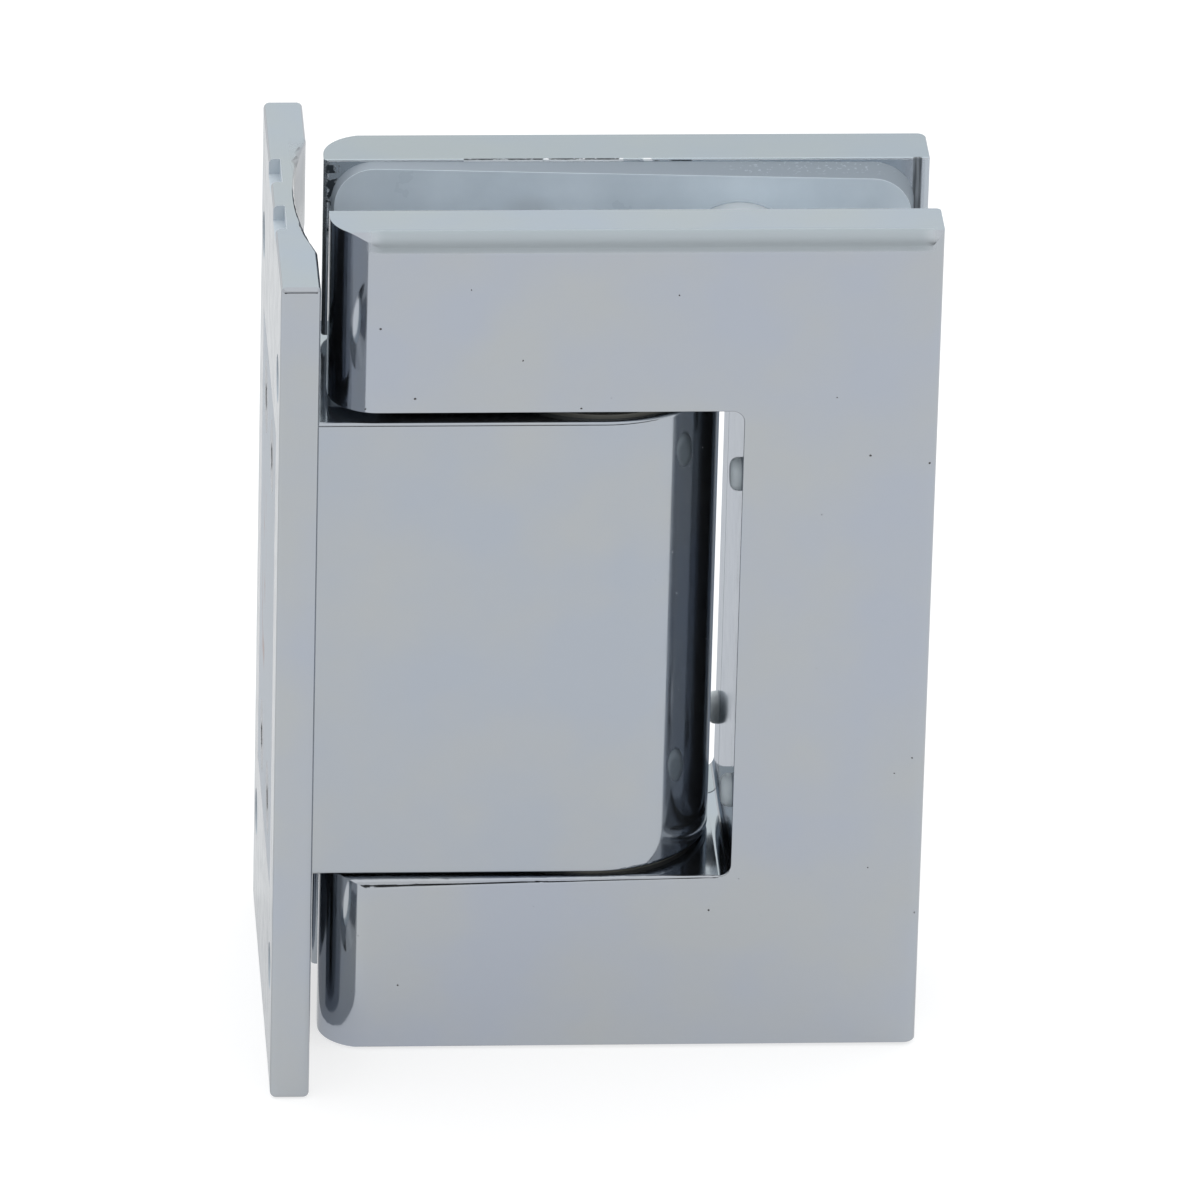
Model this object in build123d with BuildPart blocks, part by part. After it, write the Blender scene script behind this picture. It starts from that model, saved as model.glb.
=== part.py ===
from build123d import *
import os
from math import cos, radians, sin, sqrt

# Wall-mounted glass door hinge with a centre pivot block.
# X runs out from the wall, Y runs from the front face to the rear face, Z is up.
# The origin is the middle of the wall plate's back face. Lengths are in millimetres.

os.makedirs("parts", exist_ok=True)

# Wall plate
plate_height = 89.4
plate_width = 45.2
plate_thickness = 3.9
plate_corner_round = 0.6
plate_edge_round = 0.55
trough_width = 27.0
trough_depth = 1.7
notch_width = 5.5
notch_depth = 1.1
notch_height = 1.6
notch_spacing = 11.2
wall_hole_diameter = 4.8
wall_head_diameter = 9.0
wall_hole_spacing_y = 34.0
wall_hole_spacing_z = 65.0

# Pivot block, which passes through the wall plate and is held by a strip let into its back
block_thickness = 24.5
block_rise = 0.25
block_edge_round = 0.45
pivot_distance = 32.7
window_fit = 0.05
retainer_width = 30.0
retainer_thickness = 2.0
retainer_screw_diameter = 4.0
retainer_head_diameter = 7.4
retainer_screw_length = 13.0
retainer_screw_spacing_y = 14.0
retainer_screw_from_end = 6.05
retainer_socket_size = 2.5
retainer_socket_depth = 1.4

# Pivot pin and its bearings
pin_diameter = 9.0
pin_grip = 9.5
pin_end_flat = 0.8
running_clearance = 0.05
seat_fit = 0.02
bush_diameter = 13.0
bush_length = 10.0
washer_diameter = 23.0
washer_thickness = 0.45
washer_clearance = 0.3
end_play = 0.6

# Detents, which press on flats of the pin and stop the door closed and square open
detent_from_bush = 5.05
detent_bore_diameter = 8.2
plunger_clearance = 0.05
plunger_length = 9.0
plunger_nose_round = 1.6
plunger_pin_clearance = 0.05
detent_flat_depth = 0.6
detent_flat_height = 9.6
spring_wire = 0.9
spring_diameter = 6.8
spring_turns = 6
spring_end_clearance = 0.05

# Glass clamp: a C-shaped front body and a C-shaped rear plate either side of the glass
clamp_height = 90.0
arm_height = 19.2
clamp_length = 60.45
clamp_nose_gap = 1.45
clamp_nose_radius = 4.8
clamp_front_round = 1.3
clamp_rear_round = 0.9
clamp_edge_break = 0.2
clamp_inner_round = 0.5
front_plate_thickness = 6.2
rear_plate_thickness = 6.2
glass_gap = 12.1
slot_wall_gap = 1.55
slot_corner_radius = 1.2
slot_edge_round = 0.15
seam_chamfer = 0.22
arm_round_at_nose = 1.4
arm_round_at_corner = 0.3

# Rim and bosses of the front body that fill the cut-out in the glass
rim_thickness = 2.5
boss_start = 6.1
boss_length = 28.0
boss_height = 10.7
post_diameter = 8.0
post_from_slot_wall = 0.3
post_above_slot = 9.05
sleeve_diameter = 11.8
sleeve_clearance = 0.1
sleeve_end_clearance = 0.05

# Clamp screws
clamp_screw_diameter = 6.0
clamp_head_diameter = 11.6
clamp_screw_length = 21.5
clamp_screw_clearance = 0.2
clamp_socket_size = 4.0
clamp_socket_depth = 2.2
inner_screw_from_boss = 5.2

# Grub screws that lock the pin in the clamp
grub_diameter = 5.0
grub_length = 4.9
grub_socket_size = 2.5
grub_socket_depth = 1.6
grub_relief = 0.3

# Gaskets between plates and glass
gasket_thickness = 1.1
gasket_inset = 0.6
gasket_nose_inset = 0.75
gasket_end_inset = 1.5
gasket_corner_radius = 4.3
gasket_bevel = 0.3
gasket_clearance = 0.3
front_gasket_drops = (0.6, 0.6)
front_gasket_face_drops = (0.9, 0.9)
rear_gasket_drops = (0.1, 0.4)
rear_gasket_face_drops = (0.4, 1.9)

# Soft bumpers in the end wall of the slot
bumper_diameter = 3.4
bumper_stand_out = 1.05
bumper_seat_depth = 1.2
bumper_round = 0.8
bumper_spacing_y = 18.6
bumper_from_slot_edge = 8.2

# Sizes that follow from the ones above
trough_radius = (trough_width**2 / 4 + trough_depth**2) / (2 * trough_depth)
block_radius = block_thickness / 2
slot_height = clamp_height - 2 * arm_height
block_height = slot_height - 2 * washer_thickness - end_play
block_bottom = block_rise - block_height / 2
block_top = block_rise + block_height / 2
pin_radius = pin_diameter / 2
slot_bottom = block_bottom - washer_thickness
clamp_middle = slot_bottom + slot_height / 2
clamp_bottom = clamp_middle - clamp_height / 2
clamp_front = -glass_gap / 2 - front_plate_thickness
clamp_rear = glass_gap / 2 + rear_plate_thickness
clamp_nose = plate_thickness + clamp_nose_gap
clamp_end = clamp_nose + clamp_length
detent_spacing = block_height - 2 * (bush_length + detent_from_bush)
retainer_screw_spacing_z = block_height - 2 * retainer_screw_from_end
bumper_spacing_z = slot_height - 2 * bumper_from_slot_edge
slot_wall = pivot_distance + block_radius + slot_wall_gap
boss_left = clamp_nose + boss_start
pin_reach = slot_height / 2 + pin_grip
pin_bottom = clamp_middle - pin_reach
grub_offset = slot_height / 2 + pin_grip / 2
post_x = slot_wall + post_from_slot_wall
post_z = slot_height / 2 + post_above_slot
inner_screw_x = boss_left + inner_screw_from_boss
inner_screw_z = slot_height / 2 + boss_height / 2
boss_screw_places = [(inner_screw_x, side * inner_screw_z) for side in (-1, 1)]
post_places = [(post_x, side * post_z) for side in (-1, 1)]
grub_places = [(pivot_distance, side * grub_offset) for side in (-1, 1)]
retainer_screw_places = [
    (side_y * retainer_screw_spacing_y / 2, side_z * retainer_screw_spacing_z / 2)
    for side_y in (-1, 1)
    for side_z in (-1, 1)
]
plunger_tip = pivot_distance - pin_radius - plunger_pin_clearance
plunger_back = plunger_tip - plunger_length

# Working planes. On each, +Z of the plane points out of the piece. On the clamp's own
# planes +Y points down, so the first of a pair of places is the upper one.
plate_front_plane = Plane.YZ.offset(plate_thickness)
back_plane = Plane(origin=(0, 0, block_rise), x_dir=(0, -1, 0), z_dir=(-1, 0, 0))
tail_plane = Plane.YZ.offset(retainer_thickness)
gap_rear_plane = Plane(
    origin=(0, glass_gap / 2, clamp_middle), x_dir=(1, 0, 0), z_dir=(0, 1, 0)
)
gap_front_plane = gap_rear_plane.offset(-glass_gap)
middle_plane = gap_rear_plane.offset(-glass_gap / 2)
rear_face_plane = gap_rear_plane.offset(rear_plate_thickness)
slot_wall_plane = Plane(
    origin=(slot_wall, 0, clamp_middle), x_dir=(0, 1, 0), z_dir=(-1, 0, 0)
)


def finish(piece, label):
    """Labels a finished piece and writes its STEP file."""
    piece.part.label = label
    export_step(piece.part, f"parts/{label}.step")


def slot_outline(start=0.0, growth=0.0):
    """The slot round the block in the clamp's own plane, open to the wall side from start."""
    length = slot_wall + growth - start
    with BuildSketch() as outline:
        with Locations((start + length / 2, 0)):
            Rectangle(length, slot_height + 2 * growth)
        fillet(outline.vertices().group_by(Axis.X)[-1], slot_corner_radius + growth)
    return outline.sketch


def clamp_plate(side, outer_face):
    """A C-shaped plate with a half-rounded nose, soft along its top and end. side is -1 in
    front of the glass and 1 behind it, where the slot's inner edge is broken as a seam."""
    inner_face = side * glass_gap / 2
    middle = ((clamp_nose + clamp_end) / 2, (inner_face + outer_face) / 2)
    with BuildPart() as plate:
        with BuildSketch(Plane.XY.offset(clamp_bottom)):
            with Locations(middle):
                Rectangle(clamp_length, abs(outer_face - inner_face))
        extrude(amount=clamp_height)
        outer_edges = plate.edges().filter_by(lambda edge: abs(edge.center().Y - outer_face) < 0.01)
        end_edge = outer_edges.sort_by(Axis.X)[-1]
        if side < 0:
            fillet([end_edge, outer_edges.sort_by(Axis.Z)[-1]], clamp_front_round)
        else:
            fillet(end_edge, clamp_rear_round)
        broken = [
            edge
            for edge in plate.edges()
            if side * (outer_face - edge.center().Y) < clamp_rear_round
            and (abs(edge.center().Z - clamp_bottom) < 0.01 or (side > 0 and edge.center().Z > clamp_middle + 1))
            and abs(edge.tangent_at(0.5).Z) < 0.5
        ]
        fillet(broken, clamp_edge_break)
        with BuildSketch(Plane.XY.offset(clamp_bottom)) as plan:
            with Locations(middle):
                Rectangle(clamp_length, abs(outer_face - inner_face))
            nose_corners = plan.vertices().group_by(Axis.X)[0].sort_by(lambda corner: side * corner.Y)
            end_corners = plan.vertices().group_by(Axis.X)[-1].sort_by(lambda corner: side * corner.Y)
            fillet([end_corners[0]] + ([nose_corners[0]] if side > 0 else []), clamp_inner_round)
            fillet(plan.vertices().sort_by(lambda corner: corner.X - side * corner.Y)[0], clamp_nose_radius)
        extrude(amount=clamp_height, mode=Mode.INTERSECT)
        with BuildSketch(middle_plane):
            add(slot_outline())
        extrude(amount=2 * abs(outer_face), both=True, mode=Mode.SUBTRACT)
        if side > 0:
            with BuildSketch(gap_rear_plane):
                add(slot_outline(growth=seam_chamfer))
            extrude(amount=seam_chamfer, taper=45, mode=Mode.SUBTRACT)
        mouth = [
            edge
            for edge in plate.edges()
            if side * edge.center().Y > glass_gap / 2 + 2 * seam_chamfer
            and abs(edge.center().Z - clamp_middle) < slot_height / 2 + slot_edge_round
            and edge.center().X < slot_wall + slot_edge_round
        ]
        fillet([edge for edge in mouth if not is_across(edge)], slot_edge_round)
    return plate.part


def is_across(edge):
    """True for a straight edge that runs through the thickness of a clamp plate."""
    return abs(edge.tangent_at(0.5).Y) > 0.9


def countersunk_screws(plane, places, diameter, head_diameter, length, socket_size, socket_depth):
    """Countersunk socket screws whose heads are flush with a plane."""
    with BuildPart() as screws:
        with Locations(plane):
            with Locations(*places):
                Cylinder(diameter / 2, length, align=(Align.CENTER, Align.CENTER, Align.MAX))
                Cone(
                    diameter / 2,
                    head_diameter / 2,
                    (head_diameter - diameter) / 2,
                    align=(Align.CENTER, Align.CENTER, Align.MAX),
                )
        with BuildSketch(plane):
            with Locations(*places):
                RegularPolygon(socket_size / 2, 6, major_radius=False)
        extrude(amount=-socket_depth, mode=Mode.SUBTRACT)
    return screws


# Wall plate: a flat bar with a shallow trough in front, a window for the block,
# a pocket behind for the retainer, two small notches and four countersunk holes.
with BuildPart() as wall_plate:
    with BuildSketch(Plane.XY.offset(-plate_height / 2)):
        with Locations((plate_thickness / 2, 0)):
            Rectangle(plate_thickness, plate_width)
        with Locations((plate_thickness - trough_depth + trough_radius, 0)):
            Circle(trough_radius, mode=Mode.SUBTRACT)
    extrude(amount=plate_height)
    fillet(wall_plate.edges().filter_by(Axis.Z), plate_corner_round)
    fillet(
        wall_plate.faces().group_by(Axis.Z)[-1].edges() + wall_plate.faces().group_by(Axis.Z)[0].edges(),
        plate_edge_round,
    )
    with BuildSketch(Plane.YZ):
        with Locations((0, plate_height / 2 - notch_height / 2)):
            with GridLocations(notch_spacing, 0, 2, 1):
                Rectangle(notch_width, notch_height)
    extrude(amount=notch_depth, mode=Mode.SUBTRACT)
    with BuildSketch(Plane.YZ):
        with Locations((0, block_rise)):
            Rectangle(block_thickness + 2 * window_fit, block_height + 2 * window_fit)
    extrude(amount=plate_thickness, mode=Mode.SUBTRACT)
    with BuildSketch(Plane.YZ):
        with Locations((0, block_rise)):
            Rectangle(retainer_width + 2 * window_fit, block_height + 2 * window_fit)
    extrude(amount=retainer_thickness, mode=Mode.SUBTRACT)
    with Locations(plate_front_plane):
        with GridLocations(wall_hole_spacing_y, wall_hole_spacing_z, 2, 2):
            CounterSinkHole(wall_hole_diameter / 2, wall_head_diameter / 2, counter_sink_angle=90)
finish(wall_plate, "wall_plate")

# Pivot block: a solid bar with a half-round end, bored for the pin's bushes and the detents.
with BuildPart() as pivot_block:
    with BuildSketch(Plane.XY.offset(block_bottom)):
        with Locations(((retainer_thickness + pivot_distance) / 2, 0)):
            Rectangle(pivot_distance - retainer_thickness, block_thickness)
        with Locations((pivot_distance, 0)):
            Circle(block_radius)
    extrude(amount=block_height)
    fillet(
        pivot_block.faces().group_by(Axis.Z)[-1].edges().sort_by(Axis.X)[1:]
        + pivot_block.faces().group_by(Axis.Z)[0].edges().sort_by(Axis.X)[1:],
        block_edge_round,
    )
    with BuildSketch(Plane.XY.offset(block_bottom)):
        with Locations((pivot_distance, 0)):
            Circle(bush_diameter / 2 + seat_fit)
    extrude(amount=block_height, mode=Mode.SUBTRACT)
    with BuildSketch(tail_plane):
        with Locations((0, block_rise)):
            with GridLocations(0, detent_spacing, 1, 2):
                Circle(detent_bore_diameter / 2)
    extrude(amount=pivot_distance - retainer_thickness, mode=Mode.SUBTRACT)
    with BuildSketch(tail_plane):
        with Locations((0, block_rise)):
            with GridLocations(retainer_screw_spacing_y, retainer_screw_spacing_z, 2, 2):
                Circle(retainer_screw_diameter / 2 + seat_fit)
    extrude(amount=retainer_screw_length, mode=Mode.SUBTRACT)
finish(pivot_block, "pivot_block")

# Retainer: a flat steel strip in the plate's back pocket that the block is pulled against.
with BuildPart() as block_retainer:
    with BuildSketch(Plane.YZ):
        with Locations((0, block_rise)):
            Rectangle(retainer_width, block_height)
    extrude(amount=retainer_thickness)
    with Locations(back_plane):
        with GridLocations(retainer_screw_spacing_y, retainer_screw_spacing_z, 2, 2):
            CounterSinkHole(
                retainer_screw_diameter / 2 + seat_fit,
                retainer_head_diameter / 2 + seat_fit,
                counter_sink_angle=90,
            )
finish(block_retainer, "block_retainer")

retainer_screws = countersunk_screws(
    back_plane,
    retainer_screw_places,
    retainer_screw_diameter,
    retainer_head_diameter,
    retainer_screw_length,
    retainer_socket_size,
    retainer_socket_depth,
)
finish(retainer_screws, "retainer_screws")

# Pivot pin: a steel shaft with a flat at each gripped end and three flats at each detent.
with BuildPart() as pivot_pin:
    with BuildSketch(Plane.XY.offset(pin_bottom)):
        with Locations((pivot_distance, 0)):
            Circle(pin_radius)
    extrude(amount=2 * pin_reach)
    for end in (-1, 1):
        with Locations((pivot_distance, pin_radius, clamp_middle + end * grub_offset)):
            Box(pin_diameter, 2 * pin_end_flat, pin_grip, mode=Mode.SUBTRACT)
    for level in (-1, 1):
        for angle in (90, 180, 270):
            with Locations(
                Location(
                    (
                        pivot_distance + pin_radius * cos(radians(angle)),
                        pin_radius * sin(radians(angle)),
                        block_rise + level * detent_spacing / 2,
                    ),
                    (0, 0, angle),
                )
            ):
                Box(2 * detent_flat_depth, pin_diameter, detent_flat_height, mode=Mode.SUBTRACT)
finish(pivot_pin, "pivot_pin")

# Two plain bushes pressed into the ends of the block, which the pin turns in.
for name, end in (("bush_lower", block_bottom), ("bush_upper", block_top - bush_length)):
    with BuildPart() as bush:
        with BuildSketch(Plane.XY.offset(end)):
            with Locations((pivot_distance, 0)):
                Circle(bush_diameter / 2)
                Circle(pin_radius + running_clearance, mode=Mode.SUBTRACT)
        extrude(amount=bush_length)
    finish(bush, name)

# Two thrust washers: one under the block, one on top of it with the end play above.
for name, under in (("washer_lower", slot_bottom), ("washer_upper", block_top)):
    with BuildPart() as washer:
        with BuildSketch(Plane.XY.offset(under)):
            with Locations((pivot_distance, 0)):
                Circle(washer_diameter / 2)
                Circle(pin_radius + washer_clearance, mode=Mode.SUBTRACT)
        extrude(amount=washer_thickness)
    finish(washer, name)

# Detents: a round-nosed plunger in each cross bore, pushed to the pin by a coil spring.
for name, level in (("lower", -detent_spacing / 2), ("upper", detent_spacing / 2)):
    with BuildPart() as detent_plunger:
        with BuildSketch(Plane.YZ.offset(plunger_back)):
            with Locations((0, block_rise + level)):
                Circle(detent_bore_diameter / 2 - plunger_clearance)
        extrude(amount=plunger_length)
        fillet(detent_plunger.edges().sort_by(Axis.X)[-1], plunger_nose_round)
    finish(detent_plunger, f"detent_plunger_{name}")

    spring_start = retainer_thickness + spring_wire / 2 + spring_end_clearance
    spring_length = plunger_back - spring_wire / 2 - spring_end_clearance - spring_start
    coil_radius = (spring_diameter - spring_wire) / 2
    with BuildPart() as detent_spring:
        with BuildLine() as coil:
            Helix(
                pitch=spring_length / spring_turns,
                height=spring_length,
                radius=coil_radius,
                center=(spring_start, 0, block_rise + level),
                direction=(1, 0, 0),
            )
        with BuildSketch(Plane(origin=coil.line @ 0, z_dir=coil.line % 0)):
            Circle(spring_wire / 2)
        sweep(is_frenet=True)
    finish(detent_spring, f"detent_spring_{name}")

def arm_corner(x, radius):
    """What a round of this radius takes off the lower arm's top front corner, at x."""
    with BuildSketch(Plane.YZ.offset(x)) as corner:
        with BuildLine():
            Line((clamp_front, slot_bottom - radius), (clamp_front, slot_bottom))
            Line((clamp_front, slot_bottom), (clamp_front + radius, slot_bottom))
            RadiusArc((clamp_front + radius, slot_bottom), (clamp_front, slot_bottom - radius), -radius)
        make_face()
    return corner.sketch


# Front clamp body: the front plate with the rim, bosses and posts that fill the glass
# cut-out, cast in one. The pin, the clamp screws and the grub screws go into the bosses.
# The lower arm's front corner is polished to a round that dies out towards the slot's end.
with BuildPart() as front_clamp_body:
    add(clamp_plate(-1, clamp_front))
    nose_corner = arm_corner(clamp_nose, arm_round_at_nose)
    end_corner = arm_corner(slot_wall - slot_corner_radius, arm_round_at_corner)
    loft([nose_corner, end_corner], mode=Mode.SUBTRACT)
    with BuildSketch(gap_front_plane):
        add(slot_outline(boss_left, rim_thickness))
        with Locations((boss_left + boss_length / 2, 0)):
            Rectangle(boss_length, slot_height + 2 * boss_height)
        with Locations(*post_places):
            Circle(post_diameter / 2)
        add(slot_outline(), mode=Mode.SUBTRACT)
    extrude(amount=glass_gap)
    with BuildSketch(Plane.XY.offset(pin_bottom)):
        with Locations((pivot_distance, 0)):
            Circle(pin_radius + seat_fit)
    extrude(amount=clamp_height, mode=Mode.SUBTRACT)
    with BuildSketch(gap_rear_plane):
        with Locations(*boss_screw_places, *post_places):
            Circle(clamp_screw_diameter / 2 + seat_fit)
    extrude(amount=rear_plate_thickness - clamp_screw_length, mode=Mode.SUBTRACT)
    with BuildSketch(gap_rear_plane):
        with Locations(*grub_places):
            Circle(grub_diameter / 2 + seat_fit)
    extrude(amount=-glass_gap / 2, mode=Mode.SUBTRACT)
    with BuildSketch(slot_wall_plane):
        with Locations((-bumper_spacing_y / 2, 0)):
            with GridLocations(0, bumper_spacing_z, 1, 2):
                Circle(bumper_diameter / 2 + seat_fit)
    extrude(amount=-bumper_seat_depth, mode=Mode.SUBTRACT)
finish(front_clamp_body, "front_clamp_body")

# Rear clamp plate: the same outline, screwed to the bosses and posts through the glass.
with BuildPart() as rear_clamp_plate:
    add(clamp_plate(1, clamp_rear))
    with Locations(rear_face_plane):
        with Locations(*boss_screw_places, *post_places):
            CounterSinkHole(
                clamp_screw_diameter / 2 + clamp_screw_clearance,
                clamp_head_diameter / 2 + seat_fit,
                counter_sink_angle=90,
            )
    with BuildSketch(gap_rear_plane):
        with Locations(*grub_places):
            Circle(grub_diameter / 2 + grub_relief)
    extrude(amount=grub_length - glass_gap / 2 + pin_radius - pin_end_flat + grub_relief, mode=Mode.SUBTRACT)
    with BuildSketch(slot_wall_plane):
        with Locations((bumper_spacing_y / 2, 0)):
            with GridLocations(0, bumper_spacing_z, 1, 2):
                Circle(bumper_diameter / 2 + seat_fit)
    extrude(amount=-bumper_seat_depth, mode=Mode.SUBTRACT)
finish(rear_clamp_plate, "rear_clamp_plate")

# Clamp screws: countersunk socket screws from the rear, two into bosses, two into posts.
clamp_screws = countersunk_screws(
    rear_face_plane,
    boss_screw_places + post_places,
    clamp_screw_diameter,
    clamp_head_diameter,
    clamp_screw_length,
    clamp_socket_size,
    clamp_socket_depth,
)
finish(clamp_screws, "clamp_screws")

# Grub screws: each bears on the flat at one end of the pin.
with BuildPart() as pin_grub_screws:
    with BuildSketch(middle_plane.offset(pin_radius - pin_end_flat)):
        with Locations(*grub_places):
            Circle(grub_diameter / 2)
    extrude(amount=grub_length)
    with BuildSketch(middle_plane.offset(pin_radius - pin_end_flat + grub_length)):
        with Locations(*grub_places):
            RegularPolygon(grub_socket_size / 2, 6, major_radius=False)
    extrude(amount=-grub_socket_depth, mode=Mode.SUBTRACT)
finish(pin_grub_screws, "pin_grub_screws")

# Clear sleeves round the two posts, from plate to plate, which keep the glass off the metal.
for name, (sleeve_x, sleeve_z) in zip(("screw_sleeve_upper", "screw_sleeve_lower"), post_places):
    with BuildPart() as screw_sleeve:
        with BuildSketch(gap_front_plane.offset(sleeve_end_clearance)):
            with Locations((sleeve_x, sleeve_z)):
                Circle(sleeve_diameter / 2)
                Circle(post_diameter / 2 + sleeve_clearance, mode=Mode.SUBTRACT)
        extrude(amount=glass_gap - 2 * sleeve_end_clearance)
    finish(screw_sleeve, name)

def gasket_outline(plane, inset, nose_drop, end_drop):
    """A pad's outline on a plane. The drops bring its top edge down from the plates' own."""
    left = clamp_nose + gasket_nose_inset + inset
    right = clamp_end - gasket_end_inset - inset
    with BuildSketch(plane) as outline:
        with BuildLine():
            Polyline(
                (left, nose_drop - clamp_height / 2),
                (right, end_drop - clamp_height / 2),
                (right, clamp_height / 2 - gasket_inset - inset),
                (left, clamp_height / 2 - gasket_inset - inset),
                close=True,
            )
        make_face()
        fillet(outline.vertices(), gasket_corner_radius - inset)
    return outline.sketch


# Gaskets: soft translucent pads of the plates' outline with bevelled edges, cut round the
# rim, bosses and sleeves. The top edge of the rear one is bevelled at a slant.
for name, plane, depth, base_drops, face_drops in (
    ("front_gasket", gap_front_plane, gasket_thickness, front_gasket_drops, front_gasket_face_drops),
    ("rear_gasket", gap_rear_plane, -gasket_thickness, rear_gasket_drops, rear_gasket_face_drops),
):
    with BuildPart() as gasket:
        base = gasket_outline(plane, 0, *base_drops)
        face = gasket_outline(plane.offset(depth), gasket_bevel, *face_drops)
        loft([base, face], ruled=True)
        with BuildSketch(plane):
            add(slot_outline(growth=rim_thickness + gasket_clearance))
            with Locations((boss_left + boss_length / 2, 0)):
                Rectangle(
                    boss_length + 2 * gasket_clearance, slot_height + 2 * boss_height + 2 * gasket_clearance
                )
            with Locations(*post_places):
                Circle(sleeve_diameter / 2 + gasket_clearance)
        extrude(amount=depth, mode=Mode.SUBTRACT)
    finish(gasket, name)

# Bumpers: four soft round-edged buttons pressed into the slot's end wall. They meet the
# flat of the block before metal does when the clamp is square open.
for face, side in (("front", -1), ("rear", 1)):
    for level, down in (("upper", -1), ("lower", 1)):
        with BuildPart() as bumper:
            with BuildSketch(slot_wall_plane.offset(-bumper_seat_depth)):
                with Locations((side * bumper_spacing_y / 2, down * bumper_spacing_z / 2)):
                    Circle(bumper_diameter / 2)
            extrude(amount=bumper_seat_depth + bumper_stand_out)
            fillet(bumper.edges().sort_by(Axis.X)[0], bumper_round)
        finish(bumper, f"bumper_{face}_{level}")
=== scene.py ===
import bpy
import math
from mathutils import Matrix, Vector


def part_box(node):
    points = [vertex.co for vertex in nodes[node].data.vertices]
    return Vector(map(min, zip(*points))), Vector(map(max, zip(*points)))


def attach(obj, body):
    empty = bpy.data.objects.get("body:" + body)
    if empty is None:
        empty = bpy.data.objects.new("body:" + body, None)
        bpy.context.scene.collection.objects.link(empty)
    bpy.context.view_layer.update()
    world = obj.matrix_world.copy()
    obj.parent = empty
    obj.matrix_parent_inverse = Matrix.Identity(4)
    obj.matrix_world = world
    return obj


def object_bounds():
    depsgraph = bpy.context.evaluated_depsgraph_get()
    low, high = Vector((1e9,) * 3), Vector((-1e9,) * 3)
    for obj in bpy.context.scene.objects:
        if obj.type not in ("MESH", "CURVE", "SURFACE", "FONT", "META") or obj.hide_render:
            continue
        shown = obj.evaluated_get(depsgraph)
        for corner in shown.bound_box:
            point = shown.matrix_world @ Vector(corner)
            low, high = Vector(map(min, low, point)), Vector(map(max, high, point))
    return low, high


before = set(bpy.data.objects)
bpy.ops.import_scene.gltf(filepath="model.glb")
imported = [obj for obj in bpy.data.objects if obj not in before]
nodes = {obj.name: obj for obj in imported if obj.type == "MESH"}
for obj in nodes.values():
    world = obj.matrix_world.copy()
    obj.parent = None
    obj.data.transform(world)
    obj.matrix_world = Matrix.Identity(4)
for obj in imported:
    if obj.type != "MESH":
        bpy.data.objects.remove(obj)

cad_low, cad_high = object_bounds()


# ---------------------------------------------------------------------------
# Wall plate. A drawn brass bar, planed with a shallow trough down its front,
# polished and chrome plated. Four screws hold it to the wall. Inside its screw
# holes and notches the plating is thin and dull. Its face against the wall has
# painted shade: a darker tint in what it gives back at a grazing view.

def node_maker(tree):
    """A function that adds a node to a tree and sets or links its inputs."""
    def add(kind, inputs=None, **settings):
        node = tree.nodes.new(kind)
        for key, value in settings.items():
            setattr(node, key, value)
        for key, value in (inputs or {}).items():
            if isinstance(value, bpy.types.NodeSocket):
                tree.links.new(value, node.inputs[key])
            else:
                node.inputs[key].default_value = value
        return node
    return add


def shader_tree(name, plain=None):
    """A new material, its node maker and its Principled shader with its plain sockets set."""
    material = bpy.data.materials.new(name)
    material.use_nodes = True
    material.node_tree.nodes.clear()
    add = node_maker(material.node_tree)
    surface = add("ShaderNodeBsdfPrincipled", plain)
    add("ShaderNodeOutputMaterial", {"Surface": surface.outputs["BSDF"]})
    return material, add, surface


def link(node, socket, value):
    """Links a value to a socket, over what was there."""
    node.id_data.links.new(value, node.inputs[socket])


def worked(add, operation, *values):
    """The result of a Math node."""
    return add("ShaderNodeMath", dict(enumerate(values)), operation=operation).outputs[0]


def both(add, *masks):
    """1 where all the masks are 1."""
    result = masks[0]
    for mask in masks[1:]:
        result = worked(add, "MULTIPLY", result, mask)
    return result


def from_spot(add, across, up):
    """How far a place is from a spot, from how far it is from it along two axes."""
    squares = [worked(add, "MULTIPLY", side, side) for side in (across, up)]
    return worked(add, "SQRT", worked(add, "ADD", *squares))


def along_axes(add):
    """Where a place lies on the hinge, in millimetres along X, Y and Z."""
    place = add("ShaderNodeTexCoord").outputs["Object"]
    in_mm = add("ShaderNodeVectorMath", {0: place, "Scale": 1000.0}, operation="SCALE")
    split = add("ShaderNodeSeparateXYZ", {"Vector": in_mm.outputs["Vector"]})
    return split.outputs["X"], split.outputs["Y"], split.outputs["Z"]


def spread(add, value, low, high, first=0.0, last=1.0, step="LINEAR"):
    """Turns a value's range from low to high into one from first to last."""
    ends = {"Value": value, "From Min": low, "From Max": high, "To Min": first, "To Max": last}
    return add("ShaderNodeMapRange", ends, interpolation_type=step).outputs["Result"]


def within(add, value, low, high, soft=0.02):
    """1 where a value lies between two others, with soft ends."""
    rise = spread(add, value, low - soft, low + soft, step="SMOOTHSTEP")
    fall = spread(add, value, high - soft, high + soft, 1.0, 0.0, "SMOOTHSTEP")
    return worked(add, "MULTIPLY", rise, fall)


def inside(add, *ranges):
    """1 inside all the ranges, each a coordinate, its two ends and how soft they are."""
    return both(add, *[within(add, *each) for each in ranges])


def grain(add, scale, stretch=(1, 1, 1), detail=4.0, shift=0.0):
    """Noise over the piece, stretched along an axis where its scale is small."""
    place = add("ShaderNodeTexCoord").outputs["Object"]
    laid = add("ShaderNodeMapping", {"Vector": place, "Location": (shift, shift, shift),
                                     "Scale": stretch})
    noise = {"Vector": laid.outputs["Vector"], "Scale": scale, "Detail": detail}
    return add("ShaderNodeTexNoise", noise).outputs["Fac"]


def patches(add, low, high, scale, **settings):
    """1 in the patches where the grain is past the second level, and 0 before the first."""
    return spread(add, grain(add, scale, **settings), low, high)


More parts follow.
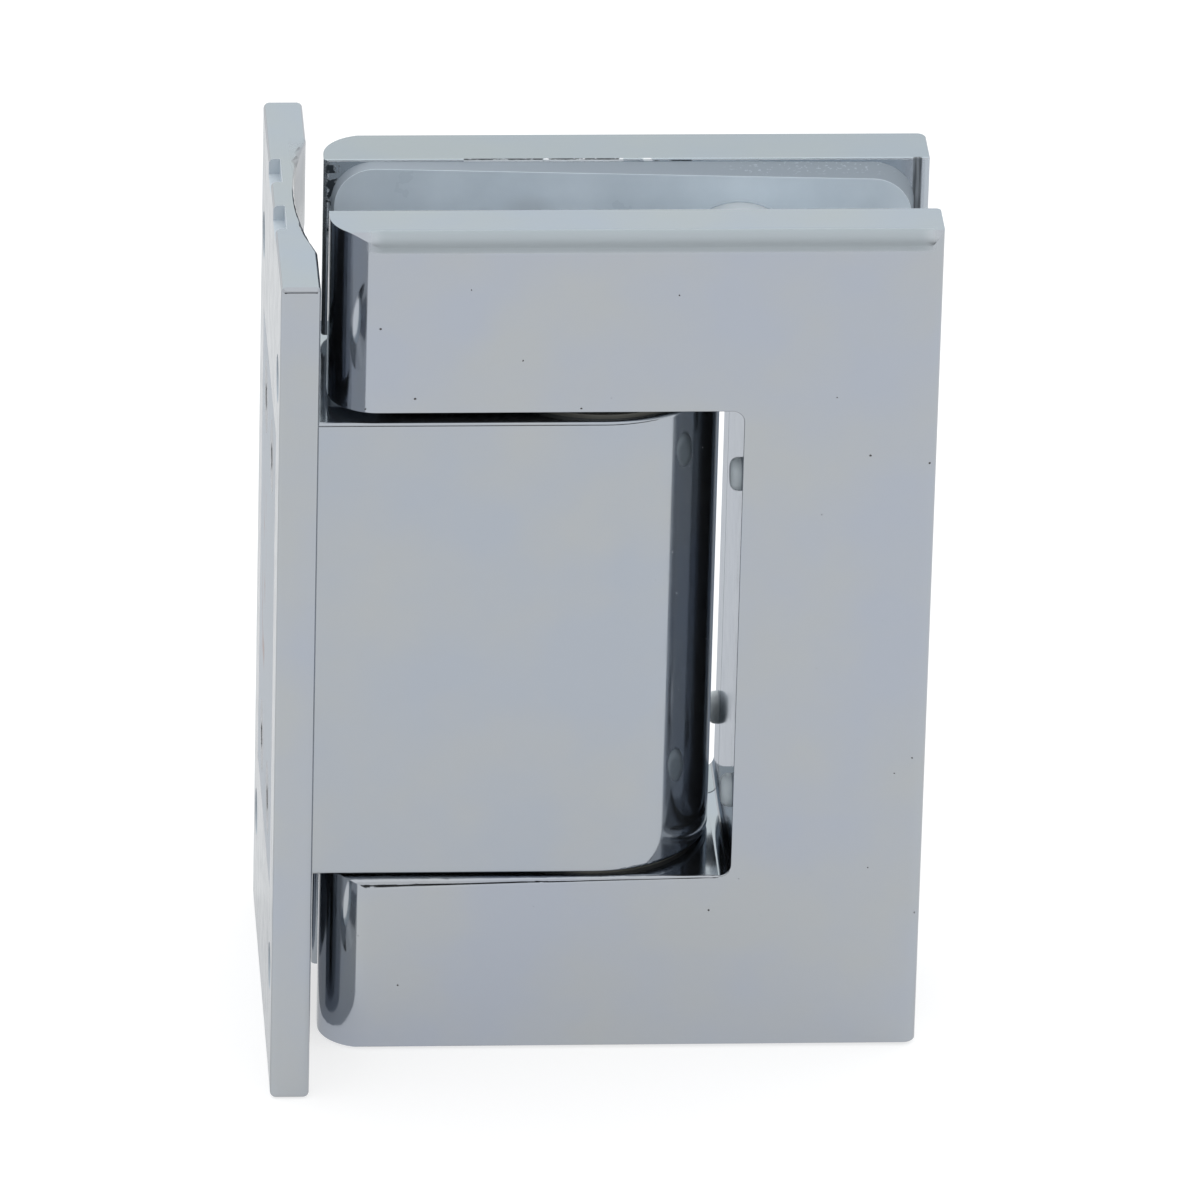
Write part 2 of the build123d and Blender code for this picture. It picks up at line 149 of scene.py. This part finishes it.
def two_tone(surface, add, value, low, high, low_color, high_color):
    """Colours a surface from one tone to another as a value goes from low to high."""
    ramp = add("ShaderNodeValToRGB", {"Fac": value})
    for element, position, color in zip(ramp.color_ramp.elements, (low, high),
                                        (low_color, high_color)):
        element.position = position
        element.color = (*color, 1)
    link(surface, "Base Color", ramp.outputs["Color"])


def rippled(surface, add, height, strength, depth):
    """Gives a surface fine relief."""
    bump = add("ShaderNodeBump", {"Height": height, "Strength": strength, "Distance": depth})
    link(surface, "Normal", bump.outputs["Normal"])


def changed(surface, add, mask, socket, value):
    """Changes what one socket of a surface gets where the mask is 1."""
    under = surface.inputs[socket]
    below = under.links[0].from_socket if under.is_linked else under.default_value
    if isinstance(value, tuple):
        if not under.is_linked:
            below = tuple(below)
        mixed = add("ShaderNodeMix", {0: mask, 6: below, 7: (*value, 1)}, data_type="RGBA")
        link(surface, socket, mixed.outputs[2])
    else:
        mixed = add("ShaderNodeMix", {0: mask, 2: below, 3: value}, data_type="FLOAT")
        link(surface, socket, mixed.outputs[0])


def lay_over(surface, add, mask, color, roughness, metallic):
    """Lays another finish over a surface where the mask is 1."""
    changed(surface, add, mask, "Base Color", color)
    changed(surface, add, mask, "Roughness", roughness)
    changed(surface, add, mask, "Metallic", metallic)


def darkened_at_grazing(surface, add, mask, tint):
    """Painted shade on a flat where the mask is 1: a lower tint in what it gives back at a
    grazing view.
    """
    changed(surface, add, mask, "Specular Tint", tint)


def polished_chrome(name, seed, cool=(0.372, 0.402, 0.455), warm=(0.392, 0.412, 0.430),
                    metallic=0.98):
    """Bright chrome with soft cool and warm clouds, smears and polishing waves."""
    cloud_scale, smear_scale, wave_scale = 75.0, 420.0, 120.0
    clean, smeared = 0.07, 0.13
    material, add, surface = shader_tree(name, {"Metallic": metallic,
                                                "Specular Tint": (0.8, 0.8, 0.8, 1)})
    clouds = grain(add, cloud_scale, detail=3.0, shift=seed * 0.31)
    two_tone(surface, add, clouds, 0.36, 0.66, cool, warm)
    smears = grain(add, smear_scale, detail=5.0, shift=seed * 0.17)
    link(surface, "Roughness", spread(add, smears, 0.35, 0.75, clean, smeared))
    waves = grain(add, wave_scale, detail=2.0, shift=seed * 0.23)
    rippled(surface, add, waves, strength=0.05, depth=0.0004)
    return material, add, surface


def finish(material, *names):
    """Gives carried-over pieces their finish."""
    for name in names:
        slots = nodes[name].data.materials
        slots.clear()
        slots.append(material)


wall_plate_chrome, add, surface = polished_chrome("wall_plate_chrome", 1)
x, y, z = along_axes(add)
behind = -1.0
hole_from_middle, hole_height, hole_radius, hole_lined_to = 17.0, 32.5, 2.43, 1.8
off_middle = worked(add, "ABSOLUTE", y)
in_notch = inside(add, (x, behind, 1.13), (off_middle, 2.82, 8.38), (z, 43.07, 44.75))
from_hole = from_spot(add, worked(add, "SUBTRACT", off_middle, hole_from_middle),
                      worked(add, "SUBTRACT", worked(add, "ABSOLUTE", z), hole_height))
in_hole = both(add, worked(add, "LESS_THAN", from_hole, hole_radius),
               within(add, x, behind, hole_lined_to))
thinly_plated = worked(add, "MAXIMUM", in_notch, in_hole)
lay_over(surface, add, thinly_plated, (0.60, 0.66, 0.71), roughness=0.55, metallic=0.1)
# Painted shade: the face against the wall gives back a darker tint at a grazing view.
against_wall = within(add, x, behind, 0.02, soft=0.01)
darkened_at_grazing(surface, add, against_wall, (0.26, 0.29, 0.32))
handled = inside(add, (x, 2.1, 3.95), (y, 4.0, 13.2, 1.0), (z, 36.0, 46.0, 4.0))
handled_dullness = 0.25
polish = surface.inputs["Roughness"].links[0].from_socket
duller = worked(add, "ADD", polish, worked(add, "MULTIPLY", handled, handled_dullness))
link(surface, "Roughness", duller)
finish(wall_plate_chrome, "wall_plate")


# ---------------------------------------------------------------------------
# Pivot block. A solid brass bar with a half-round end, polished and plated
# like the plate, and pulled hard against the plate from behind. A few specks
# of dust sit on its round end.

block_chrome, add, surface = polished_chrome("pivot_block_chrome", 2, (0.375, 0.408, 0.455),
                                             (0.398, 0.418, 0.435), metallic=0.94)
x = along_axes(add)[0]
specks = patches(add, 0.80, 0.84, scale=2600.0, detail=1.0)
on_round_end = within(add, x, 38.0, 46.0, soft=1.0)
lay_over(surface, add, both(add, specks, on_round_end), (0.75, 0.77, 0.78), roughness=0.7,
         metallic=0.0)
finish(block_chrome, "pivot_block")


# ---------------------------------------------------------------------------
# Retainer strip and its screws. Bare stainless steel, ground along its length,
# let into the back of the plate, where only the wall sees it. Threadlock has
# smeared between two of the screws.

def ground_steel(name, color, stretch=(1, 1, 1), roughness=0.34):
    """Stainless steel with a fine grain, drawn out along an axis where its stretch is small."""
    material, add, surface = shader_tree(name, {"Metallic": 1.0,
                                                "Specular Tint": (0.55, 0.57, 0.60, 1)})
    lines = grain(add, scale=900.0, stretch=stretch)
    two_tone(surface, add, lines, 0.3, 0.7, [0.82 * part for part in color], color)
    link(surface, "Roughness", spread(add, lines, 0.3, 0.7, roughness - 0.06, roughness + 0.08))
    rippled(surface, add, lines, strength=0.15, depth=0.0001)
    return material, add, surface


retainer_steel, add, surface = ground_steel("retainer_steel", (0.60, 0.635, 0.67),
                                            stretch=(1, 1, 0.03))
_, y, z = along_axes(add)
threadlock = patches(add, 0.50, 0.68, scale=160.0, detail=5.0, shift=2.7)
between_screws = inside(add, (y, 2.5, 9.5, 1.2), (z, -9.0, 10.0, 2.0))
lay_over(surface, add, both(add, threadlock, between_screws), (0.42, 0.24, 0.20),
         roughness=0.5, metallic=0.2)
finish(retainer_steel, "block_retainer")

screw_steel = ground_steel("screw_steel", (0.42, 0.43, 0.44), roughness=0.24)[0]
finish(screw_steel, "retainer_screws")


# ---------------------------------------------------------------------------
# Pin, grub screws and detents. Turned and hardened stainless steel, a little
# brighter than the countersunk screws. The springs are drawn wire.

pin_steel = ground_steel("pin_steel", (0.52, 0.53, 0.54), stretch=(1, 1, 0.25),
                         roughness=0.22)[0]
finish(pin_steel, "pivot_pin", "pin_grub_screws", "detent_plunger_lower", "detent_plunger_upper",
       "detent_spring_lower", "detent_spring_upper")


# ---------------------------------------------------------------------------
# Bushes and thrust washers. The bushes are pressed sintered bronze, open
# grained and oily. The washers are punched from dark low-friction plastic.

bronze, add, surface = shader_tree("bush_bronze", {"Metallic": 1.0, "Roughness": 0.42})
pores = grain(add, scale=5200.0, detail=3.0)
two_tone(surface, add, pores, 0.35, 0.65, (0.20, 0.115, 0.05), (0.42, 0.27, 0.13))
rippled(surface, add, pores, strength=0.2, depth=0.0001)
finish(bronze, "bush_lower", "bush_upper")

washer_plastic, add, surface = shader_tree("washer_plastic", {"Roughness": 0.45})
flecks = grain(add, scale=260.0)
two_tone(surface, add, flecks, 0.0, 1.0, (0.075, 0.074, 0.062), (0.165, 0.160, 0.135))
finish(washer_plastic, "washer_lower", "washer_upper")


# ---------------------------------------------------------------------------
# Front clamp body. Cast brass, plate, rim and bosses in one, polished and
# plated all over. Its rolled top edge is buffed to a softer shine than the
# flats and painted lighter as painted light, the end wall of its slot carries
# painted shade, and a few dark dots of dust lie on the front.

def shade_slot_wall(surface, add, x, z):
    """Painted shade on the end wall of the slot, which the front body and rear plate share."""
    on_slot_wall = inside(add, (x, 46.3, 46.56), (z, -25.5, 26.5))
    darkened_at_grazing(surface, add, on_slot_wall, (0.34, 0.38, 0.44))


front_clamp_chrome, add, surface = polished_chrome("front_clamp_chrome", 3)
x, y, z = along_axes(add)
shade_slot_wall(surface, add, x, z)
# The rolled top edge: a rougher buff, with a lighter colour that is painted light.
on_rolled_edge = inside(add, (x, 9.5, 64.5, 1.2), (y, -13.0, -10.8, 0.2), (z, 43.75, 47.0, 0.3))
lay_over(surface, add, on_rolled_edge, (0.445, 0.49, 0.52), roughness=0.65, metallic=0.98)
dots = patches(add, 0.135, 0.115, scale=1700.0, detail=0.0)
on_front = within(add, y, -12.6, -12.0, soft=0.1)
lay_over(surface, add, both(add, dots, on_front), (0.10, 0.10, 0.10), roughness=0.5,
         metallic=0.0)
finish(front_clamp_chrome, "front_clamp_body")


# ---------------------------------------------------------------------------
# Rear clamp plate. The same outline in cast brass, plated to match. It is
# lifted off to fit the glass, so its inner top edge is chipped and scuffed.
# Painted light and shade on it: a paler glass-side face, a highlight along the
# inner top edge, a shadow at the glass side of its end, painted shade on the
# slot's end wall and a dark line down the slot's rear corner.

rear_clamp_chrome, add, surface = polished_chrome("rear_clamp_chrome", 4, (0.340, 0.372, 0.415),
                                                  (0.358, 0.382, 0.400))
x, y, z = along_axes(add)
shade_slot_wall(surface, add, x, z)
glass_side = within(add, y, 5.9, 6.35, soft=0.05)
ragged_up, ragged_along = 0.12, 1.1
painted_light_share, end_shade, shadow_streaking = 0.35, 0.92, 0.5
ragged = worked(add, "SUBTRACT", grain(add, scale=1700.0), 0.5)
edge_height = worked(add, "ADD", z, worked(add, "MULTIPLY", ragged, ragged_up))
edge_place = worked(add, "ADD", x, worked(add, "MULTIPLY", ragged, ragged_along))
# Painted light: the glass-side face is made paler.
painted_light_face = worked(add, "MULTIPLY", glass_side, painted_light_share)
lay_over(surface, add, painted_light_face, (0.62, 0.68, 0.74), roughness=0.4, metallic=0.4)

# Stretches of the inner edge, in millimetres: their ends along X, their
# ends along Z, how softly they start and stop along Z, and their colour.
# The first, white along the whole edge, is a painted highlight; the short
# white ones are scuffs, and the near-black ones darken the edge in places.
scuff_and_highlight_white, near_black = (0.88, 0.90, 0.92), (0.020, 0.028, 0.036)
for left, right, bottom, top, soft, color in (
        (5.6, 65.6, 45.44, 45.49, 0.02, scuff_and_highlight_white),
        (19.3, 27.2, 45.535, 45.60, 0.02, near_black),
        (19.3, 27.2, 45.35, 45.525, 0.01, scuff_and_highlight_white),
        (27.6, 34.8, 45.53, 45.60, 0.02, near_black),
        (27.6, 34.8, 45.33, 45.53, 0.01, scuff_and_highlight_white),
        (27.3, 27.6, 45.34, 45.57, 0.02, scuff_and_highlight_white),
        (34.8, 35.1, 45.34, 45.57, 0.02, scuff_and_highlight_white),
        (37.2, 37.9, 45.34, 45.57, 0.02, scuff_and_highlight_white),
        (38.2, 38.8, 45.34, 45.44, 0.02, near_black),
        (39.9, 41.9, 45.34, 45.47, 0.02, near_black),
        (5.75, 6.45, 44.15, 45.05, 0.02, near_black)):
    edge_mark = inside(add, (edge_place, left, right, 0.12), (edge_height, bottom, top, soft))
    lay_over(surface, add, both(add, edge_mark, glass_side), color, roughness=0.5, metallic=0.0)

pits = patches(add, 0.47, 0.53, scale=1100.0, detail=6.0, shift=1.3)
beside_nose = inside(add, (edge_place, 5.55, 6.7, 0.2), (z, 37.5, 45.2, 0.5))
lay_over(surface, add, both(add, pits, beside_nose, glass_side), near_black, roughness=0.55,
         metallic=0.0)
# Painted shadow at the glass side of the plate's end, with paler streaks in it.
at_end = both(add, within(add, x, 64.1, 64.97, soft=0.08), glass_side)
end_shadow = worked(add, "MULTIPLY", at_end, end_shade)
lay_over(surface, add, end_shadow, (0.06, 0.07, 0.08), roughness=0.45, metallic=0.3)
streaks = patches(add, 0.42, 0.56, scale=2600.0, stretch=(1, 1, 0.05), detail=3.0)
shadow_streaks = worked(add, "MULTIPLY", both(add, streaks, at_end), shadow_streaking)
lay_over(surface, add, shadow_streaks, (0.40, 0.43, 0.47), roughness=0.4, metallic=0.5)
# Painted shade: a dark line down the slot's rear corner.
painted_corner_shade = inside(add, (x, 46.4, 46.7), (y, 12.06, 12.3, 0.03), (z, -23.8, 24.9, 0.3))
lay_over(surface, add, painted_corner_shade, (0.10, 0.11, 0.12), roughness=0.4, metallic=0.6)
finish(rear_clamp_chrome, "rear_clamp_plate")


# ---------------------------------------------------------------------------
# Clamp screws. Countersunk socket screws, turned from the same stainless steel
# as the retainer's, and flush with the rear plate.

finish(screw_steel, "clamp_screws")


# ---------------------------------------------------------------------------
# Screw sleeves. Milky moulded plastic tubes, slipped over the posts of the
# clamp screws so that the glass never touches the metal.

sleeve_plastic, add, surface = shader_tree("sleeve_clear", {"Transmission Weight": 0.25,
                                                            "IOR": 1.3})
haze = grain(add, scale=500.0, detail=2.0)
two_tone(surface, add, haze, 0.0, 1.0, (0.70, 0.76, 0.80), (0.80, 0.85, 0.88))
link(surface, "Roughness", spread(add, haze, 0.0, 1.0, 0.2, 0.4))
finish(sleeve_plastic, "screw_sleeve_lower", "screw_sleeve_upper")


# ---------------------------------------------------------------------------
# Gaskets. Soft translucent vinyl pads with bevelled edges, glued to the inner
# faces of the two plates to grip the glass. Their bevels are darkened as
# painted shade. A thin lip closes on each sleeve.

vinyl, add, surface = shader_tree("gasket_vinyl", {"Subsurface Weight": 0.3,
                                                   "Subsurface Radius": (0.001, 0.001, 0.001)})
milk = grain(add, scale=140.0)
two_tone(surface, add, milk, 0.3, 0.7, (0.62, 0.69, 0.75), (0.72, 0.79, 0.85))
link(surface, "Roughness", spread(add, milk, 0.0, 1.0, 0.22, 0.4))
x, y, z = along_axes(add)
# Painted shade: the bevelled edges are made darker than the face.
on_bevel = within(add, worked(add, "ABSOLUTE", y), 5.0, 6.2)
lay_over(surface, add, on_bevel, (0.33, 0.38, 0.43), roughness=0.4, metallic=0.0)
marks = patches(add, 0.60, 0.64, scale=2700.0, stretch=(1, 1, 2.5), shift=0.7)
upper_corner = inside(add, (x, 46.0, 64.0, 2.0), (z, 44.3, 45.6, 0.3))
lay_over(surface, add, both(add, marks, upper_corner, on_bevel), (0.46, 0.52, 0.57),
         roughness=0.5, metallic=0.0)
smudge_x, smudge_z, smudge_radius, smudge_flatness, smudging = 25.8, 40.9, 0.9, 0.5, 0.3
aside = worked(add, "MULTIPLY", worked(add, "SUBTRACT", x, smudge_x), smudge_flatness)
from_smudge = from_spot(add, aside, worked(add, "SUBTRACT", z, smudge_z))
smudged = within(add, from_smudge, -1.0, smudge_radius, soft=0.8)
smudge = worked(add, "MULTIPLY", smudged, smudging)
lay_over(surface, add, smudge, (0.40, 0.42, 0.44), roughness=0.4, metallic=0.0)
finish(vinyl, "front_gasket", "rear_gasket")


def lip_tree(material):
    """A flat ring of a given outer radius and width, made solid to a given thickness."""
    tree = bpy.data.node_groups.new("sleeve_lip", "GeometryNodeTree")
    for label, size in (("Outer Radius", 0.0062), ("Width", 0.0003), ("Thickness", 0.001)):
        socket = tree.interface.new_socket(label, in_out="INPUT", socket_type="NodeSocketFloat")
        socket.default_value = size
    tree.interface.new_socket("Geometry", in_out="OUTPUT", socket_type="NodeSocketGeometry")
    segments = 72
    add = node_maker(tree)
    sizes = add("NodeGroupInput").outputs
    half_width = worked(add, "MULTIPLY", sizes["Width"], 0.5)
    middle = worked(add, "SUBTRACT", sizes["Outer Radius"], half_width)
    path = add("GeometryNodeCurvePrimitiveCircle", {"Resolution": segments, "Radius": middle})
    section = add("GeometryNodeCurvePrimitiveQuadrilateral", {"Width": sizes["Width"],
                                                              "Height": sizes["Thickness"]})
    ring = add("GeometryNodeCurveToMesh", {"Curve": path.outputs["Curve"],
                                           "Profile Curve": section.outputs["Curve"]})
    upright = add("GeometryNodeTransform", {"Geometry": ring.outputs["Mesh"],
                                            "Rotation": (math.pi / 2, 0.0, 0.0)})
    real = add("GeometryNodeRealizeInstances", {"Geometry": upright.outputs["Geometry"]})
    painted = add("GeometryNodeSetMaterial", {"Geometry": real.outputs["Geometry"],
                                              "Material": material})
    add("NodeGroupOutput", {"Geometry": painted.outputs["Geometry"]})
    return tree


def sleeve_lip(name, sleeve, side):
    """The pad's lip round a sleeve, set flush with the pad's face on the given side."""
    low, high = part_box(sleeve)
    face, seat = 0.00497, 0.00603  # how far the lip's two faces lie from the glass's middle
    reach, width = 0.00031, 0.00036  # how far it reaches out from the sleeve, and its width
    lip = bpy.data.objects.new(name, bpy.data.meshes.new(name))
    bpy.context.scene.collection.objects.link(lip)
    grown = lip.modifiers.new("lip", "NODES")
    grown.node_group = lip_tree(vinyl)
    sizes = {item.name: item.identifier for item in grown.node_group.interface.items_tree
             if item.in_out == "INPUT"}
    grown[sizes["Outer Radius"]] = (high[0] - low[0]) / 2 + reach
    grown[sizes["Width"]] = width
    grown[sizes["Thickness"]] = seat - face
    bpy.context.view_layer.update()
    evaluated = lip.evaluated_get(bpy.context.evaluated_depsgraph_get())
    mesh = bpy.data.meshes.new_from_object(evaluated)
    lip.modifiers.remove(grown)
    middle = ((low[0] + high[0]) / 2, side * (face + seat) / 2, (low[2] + high[2]) / 2)
    mesh.transform(Matrix.Translation(middle))
    lip.data = mesh
    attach(lip, "clamp")


for sleeve in ("screw_sleeve_lower", "screw_sleeve_upper"):
    sleeve_lip("front_lip_" + sleeve, sleeve, -1)
    sleeve_lip("rear_lip_" + sleeve, sleeve, 1)


# ---------------------------------------------------------------------------
# Bumpers. Small round-edged buttons of smooth grey rubber, pressed into the
# end wall of the slot. The rear ones are painted paler, as painted light.

bumper_rubber, add, surface = shader_tree("bumper_rubber", {
    "Subsurface Weight": 0.15, "Subsurface Radius": (0.0006, 0.0006, 0.0006)})
dust = grain(add, scale=900.0, detail=5.0)
two_tone(surface, add, dust, 0.0, 1.0, (0.52, 0.58, 0.62), (0.66, 0.72, 0.75))
link(surface, "Roughness", spread(add, dust, 0.0, 1.0, 0.3, 0.5))
y = along_axes(add)[1]
# Painted light: the rear bumpers are made paler than the front ones.
on_rear_ones = within(add, y, 0.0, 13.0, soft=0.5)
lay_over(surface, add, on_rear_ones, (0.86, 0.91, 0.94), roughness=0.4, metallic=0.0)
finish(bumper_rubber, "bumper_front_lower", "bumper_front_upper", "bumper_rear_lower",
       "bumper_rear_upper")


# ---------------------------------------------------------------------------
# Studio. A pale floor that the hinge stands on, a wide soft light overhead, a
# pale wall behind, and a low black flag in front that draws thin dark lines
# along the chrome's rounded edges.

def stage_plane(name, corners, material):
    """A flat panel of the studio, which is no part of the hinge."""
    mesh = bpy.data.meshes.new(name)
    mesh.from_pydata(corners, [], [list(range(len(corners)))])
    mesh.materials.append(material)
    panel = bpy.data.objects.new(name, mesh)
    bpy.context.scene.collection.objects.link(panel)
    return panel


def level(half, height):
    """The corners of a square panel that faces up, round the middle of the studio."""
    return [(-half, -half, height), (half, -half, height), (half, half, height),
            (-half, half, height)]


def upright(half, depth, bottom, top):
    """The corners of an upright panel that faces the front, at a given depth."""
    return [(-half, depth, bottom), (half, depth, bottom), (half, depth, top),
            (-half, depth, top)]


def seen_directly(add):
    """1 where the camera looks straight or by way of metal or glass."""
    path = add("ShaderNodeLightPath").outputs
    either = worked(add, "MAXIMUM", path["Is Camera Ray"], path["Is Glossy Ray"])
    return worked(add, "MAXIMUM", either, path["Is Transmission Ray"])


def light_card(name, corners, color, strength):
    """A glowing panel that lights the hinge and shows in the chrome."""
    material = bpy.data.materials.new(name)
    material.use_nodes = True
    material.node_tree.nodes.clear()
    add = node_maker(material.node_tree)
    glow = add("ShaderNodeEmission", {"Color": (*color, 1), "Strength": strength})
    add("ShaderNodeOutputMaterial", {"Surface": glow.outputs["Emission"]})
    stage_plane(name, corners, material).visible_camera = False


floor_paint, add, surface = shader_tree("floor_paint", {
    "Base Color": (0.42, 0.42, 0.42, 1), "Roughness": 0.9, "Specular IOR Level": 0.0,
    "Emission Color": (1, 1, 1, 1)})
seen_glow, gap_below = 0.70, 0.0001
link(surface, "Emission Strength", worked(add, "MULTIPLY", seen_directly(add), seen_glow))
ground = cad_low[2] - gap_below
stage_plane("floor", level(4.0, ground), floor_paint)

facing_down = level(1.6, 1.6)[::-1]
light_card("overhead_light", facing_down, (1.0, 1.0, 1.0), strength=1.2)
light_card("back_wall", upright(1.6, 1.6, 0.1, 1.5), (0.97, 1.03, 1.03), strength=1.25)
flag_cloth = shader_tree("flag_cloth", {"Base Color": (0.02, 0.02, 0.02, 1), "Roughness": 1.0})[0]
stage_plane("black_flag", upright(2.0, -1.5, ground, 0.45), flag_cloth).visible_camera = False

world = bpy.data.worlds.new("studio")
bpy.context.scene.world = world
world.use_nodes = True
world.node_tree.nodes.clear()
add = node_maker(world.node_tree)
dim = add("ShaderNodeBackground", {"Color": (0.80, 0.83, 0.86, 1), "Strength": 1.0})
white = add("ShaderNodeBackground", {"Color": (1, 1, 1, 1), "Strength": 1.0})
sky = add("ShaderNodeMixShader", {0: seen_directly(add), 1: dim.outputs[0], 2: white.outputs[0]})
add("ShaderNodeOutputWorld", {"Surface": sky.outputs[0]})


# ---------------------------------------------------------------------------
# Camera. A long lens, above the hinge and a little to its wall side, with a
# slight roll.

target = Vector((0.033527, 0.0, -0.000270))
distance = 1.3305
yaw, pitch, roll = math.radians(4.2076), math.radians(26.0679), math.radians(1.4929)
view = Vector((math.sin(yaw) * math.cos(pitch), math.cos(yaw) * math.cos(pitch),
               -math.sin(pitch)))
right = view.cross(Vector((0, 0, 1))).normalized()
up = right.cross(view)
tilted_right = math.cos(roll) * right + math.sin(roll) * up
tilted_up = -math.sin(roll) * right + math.cos(roll) * up
lens = bpy.data.cameras.new("camera")
lens.sensor_width = 36.0
lens.lens = 397.1
lens.clip_start = 0.01
lens.clip_end = 30.0
camera = bpy.data.objects.new("camera", lens)
bpy.context.scene.collection.objects.link(camera)
axes = Matrix((tilted_right, tilted_up, -view)).transposed().to_4x4()
camera.matrix_world = Matrix.Translation(target - distance * view) @ axes
bpy.context.scene.camera = camera

bpy.context.scene.view_settings.view_transform = "Standard"
